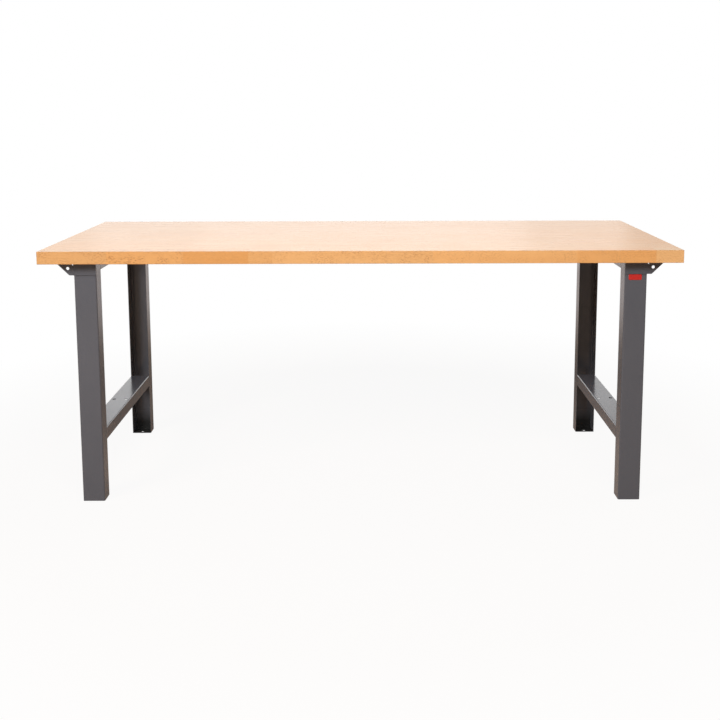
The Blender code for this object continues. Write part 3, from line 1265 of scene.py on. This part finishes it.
@dataclass
class WeldSeams:
    """The dressed weld seams where the rails meet the legs."""

    width: float = 0.0052
    crown: float = 0.00045
    ripple: float = 0.0022
    ripple_depth: float = 0.08
    ripple_steps: int = 5
    end_gap: float = 0.003
    taper: float = 0.06
    thinnest: float = 0.05
    sides: int = 16
    seam: str = "seam"

    def build(self, paint: Material) -> None:
        """Runs every seam.

        Args:
            paint: The coat over the seams.
        """
        values = {"Width": self.width, "Crown": self.crown, "Ripple": self.ripple, "Finish": paint}
        mesh = self._tree().grow("weld_seams", self._lines(), values)
        mesh.shade_smooth()
        hand_over("weld_seams", mesh)

    def _lines(self) -> Mesh:
        """Draws an upright line for each seam, on the faces of the rails' sides.

        Returns:
            The lines.
        """
        points, lines = [], []
        for rail in (f"{side.value}_{rail}" for side in Side for rail in FoldedSteel.rails):
            low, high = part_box(rail)
            for x, y in ((x, y) for x in (low.x, high.x) for y in (low.y, high.y)):
                lines.append((len(points), len(points) + 1))
                points += [(x, y, low.z + self.end_gap), (x, y, high.z - self.end_gap)]
        return wire("seam_lines", points, lines)

    def _tree(self) -> GeometryTree:
        """Sweeps a flattened, rippled bead along each line.

        Returns:
            The tree.
        """
        tree = GeometryTree("weld_bead", ["Width", "Crown", "Ripple"])
        source, here = tree.source, tree.here()
        marked = tree.stored(source["Geometry"], self.seam, here, "FLOAT_VECTOR", "POINT")
        curve = tree.step("MeshToCurve", {"Mesh": marked})
        pitch = tree.times(source["Ripple"], 1 / self.ripple_steps)
        fine = tree.step("ResampleCurve", {"Curve": curve, "Length": pitch}, mode="LENGTH")
        swelled = tree.step("SetCurveRadius", {"Curve": fine, "Radius": self._swell(tree)})
        half = tree.times(source["Width"], 0.5)
        profile = tree.step("CurvePrimitiveCircle", {"Resolution": self.sides, "Radius": half})
        inputs = {"Curve": swelled, "Profile Curve": profile, "Fill Caps": True}
        bead = tree.step("CurveToMesh", inputs)
        seam_x = tree.parts(tree.named(self.seam, "FLOAT_VECTOR"))["X"]
        place = tree.parts(here)
        flat = tree.math("DIVIDE", tree.times(source["Crown"], 2.0), source["Width"])
        pressed = tree.plus(tree.math("SUBTRACT", place["X"], seam_x), flat, seam_x)
        inputs = {"X": pressed, "Y": place["Y"], "Z": place["Z"]}
        moved = tree.out("ShaderNodeCombineXYZ", inputs)
        return tree.close(tree.step("SetPosition", {"Geometry": bead, "Position": moved}))

    def _swell(self, tree: GeometryTree) -> Socket:
        """Works out the bead's radius along a seam, rippled and tapered to its ends.

        Args:
            tree: The bead's tree.

        Returns:
            The radius, as a share of the full one.
        """
        along = tree.add("GeometryNodeSplineParameter").outputs
        turns = tree.math("DIVIDE", along["Length"], tree.source["Ripple"])
        wave = tree.math("SINE", tree.times(turns, 2 * pi))
        rippled = tree.plus(wave, self.ripple_depth, 1.0 - self.ripple_depth)
        to_end = tree.math("SUBTRACT", 1.0, along["Factor"])
        from_end = tree.math("MINIMUM", along["Factor"], to_end)
        tapered = tree.math("POWER", tree.span(from_end, 0.0, self.taper), 0.5)
        return tree.math("MAXIMUM", tree.times(rippled, tapered), self.thinnest)


@dataclass(frozen=True)
class PhotoCamera:
    """The camera at the photograph's place, with its framing."""

    place: Triple = (0.037084, -3.21346, 1.26502)
    pitch: float = 0.124282
    yaw: float = -0.000427
    roll: float = -0.002574
    image: float = 720.0
    focal_pixels: float = 931.319
    centre_pixel: Pair = (372.652, 221.840)
    sensor: float = 36.0

    def set_up(self) -> None:
        """Makes the scene's camera."""
        data = bpy.data.cameras.new("photo_camera")
        data.sensor_width = self.sensor
        data.lens = self.focal_pixels * self.sensor / self.image
        data.shift_x = (self.image / 2 - self.centre_pixel[0]) / self.image
        data.shift_y = (self.centre_pixel[1] - self.image / 2) / self.image
        camera = in_scene("photo_camera", data)
        camera.matrix_world = Matrix.Translation(self.place) @ self._turn().to_4x4()
        bpy.context.scene.camera = camera

    def _turn(self) -> Matrix:
        """Works out the camera's rotation from its pitch, yaw and roll.

        Returns:
            The rotation.
        """
        level = Matrix.Rotation(self.yaw, 3, "Y") @ Matrix.Rotation(pi / 2, 3, "X")
        pitched = Matrix.Rotation(self.pitch, 3, "X") @ level
        tilted = Matrix.Rotation(self.roll, 3, "Z") @ pitched
        return tilted.transposed() @ Matrix.Rotation(pi, 3, "X")


@dataclass(frozen=True)
class Softbox:
    """One soft lamp of the studio."""

    name: str
    place: Triple
    aim: Triple
    size: Pair
    power: float
    colour: Rgb = WHITE

    def hang(self) -> None:
        """Makes the lamp, unseen by the camera itself."""
        data = bpy.data.lights.new(self.name, "AREA")
        data.shape = "RECTANGLE"
        data.size, data.size_y = self.size
        data.energy = self.power
        data.color = self.colour
        lamp = in_scene(self.name, data)
        lamp.location = self.place
        direction = Vector(self.aim) - Vector(self.place)
        lamp.rotation_euler = direction.to_track_quat("-Z", "Y").to_euler()
        lamp.visible_camera = False


KEY_COLOUR: Rgb = (0.95, 0.98, 1.0)
KEY_AIM: Triple = (0.0, -0.3, 0.6)


@dataclass
class Studio:
    """A pale floor, soft lamps and a white surround."""

    floor_reach: float = 14.0
    floor_drop: float = 0.0004
    fill: float = 0.06
    fill_colour: Rgb = (1.0, 0.97, 0.94)
    softboxes: tuple[Softbox, ...] = (
        Softbox("key_left", (-3.2, -2.9, 2.6), KEY_AIM, (1.5, 1.2), 136.0, KEY_COLOUR),
        Softbox("key_front", (0.35, -3.1, 3.5), KEY_AIM, (2.4, 1.6), 148.0, KEY_COLOUR),
        Softbox("side_right", (3.8, 0.2, 1.3), (0.9, 0.0, 0.5), (2.4, 2.4), 16.0),
        Softbox("overhead_right", (1.7, 0.1, 2.6), (0.75, 0.0, 0.82), (0.8, 0.8), 7.0),
        Softbox("backdrop", (-0.45, 4.2, 1.6), (-0.3, 0.0, 0.7), (3.5, 2.2), 5.6),
        Softbox("backdrop_middle", (-0.15, 4.2, 1.6), (-0.1, 0.0, 0.7), (2.4, 2.2), 1.8),
        Softbox("backlight", (-0.4, 4.3, 1.6), (0.0, 0.0, 0.7), (5.2, 2.2), 19.0),
        Softbox("rear_fill", (0.0, 4.0, 0.45), (0.0, 0.0, 0.4), (5.0, 0.7), 20.0),
    )

    def set_up(self) -> None:
        """Builds the floor, the lamps and the surround, and sets plain colour."""
        self._floor()
        for softbox in self.softboxes:
            softbox.hang()
        self._surround()
        bpy.context.scene.view_settings.view_transform = "Standard"

    def _floor(self) -> None:
        """Lays the floor, which keeps a light shadow."""
        mesh = bmesh.new()
        bmesh.ops.create_grid(mesh, x_segments=1, y_segments=1, size=self.floor_reach)
        bmesh.ops.translate(mesh, vec=(0.0, 0.0, -self.floor_drop), verts=mesh.verts)
        data = mesh_data(mesh, "floor")
        data.materials.append(FloorFinish().material)
        floor = in_scene("floor", data)

    def _surround(self) -> None:
        """Makes the world: white where it is seen, and a dim fill where it lights."""
        world = bpy.data.worlds.new("studio")
        world.use_nodes = True
        graph = Graph(world.node_tree)
        dim = world.node_tree.nodes["Background"]
        graph.feed(dim, {"Color": rgba(self.fill_colour), "Strength": self.fill})
        white = graph.add("ShaderNodeBackground", {"Color": rgba(WHITE), "Strength": 1.0})
        graph.show("World Output", graph.math("MAXIMUM", *graph.seen()), dim, white)
        bpy.context.scene.world = world


def main() -> None:
    """Builds the table and the studio."""
    logging.basicConfig(level=logging.INFO, format="%(message)s")
    PhotoCamera().set_up()
    effects = SharedEffects()
    paint = PaintFinish(effects).material
    StavePanel().build(BeechFinish(effects).material)
    FoldedSteel().build(paint)
    WeldSeams().build(paint)
    Fasteners().build(ZincFinish(effects).material)
    BlankPlate().build(EnamelFinish(effects).material)
    Studio().set_up()


if __name__ == "__main__":
    main()
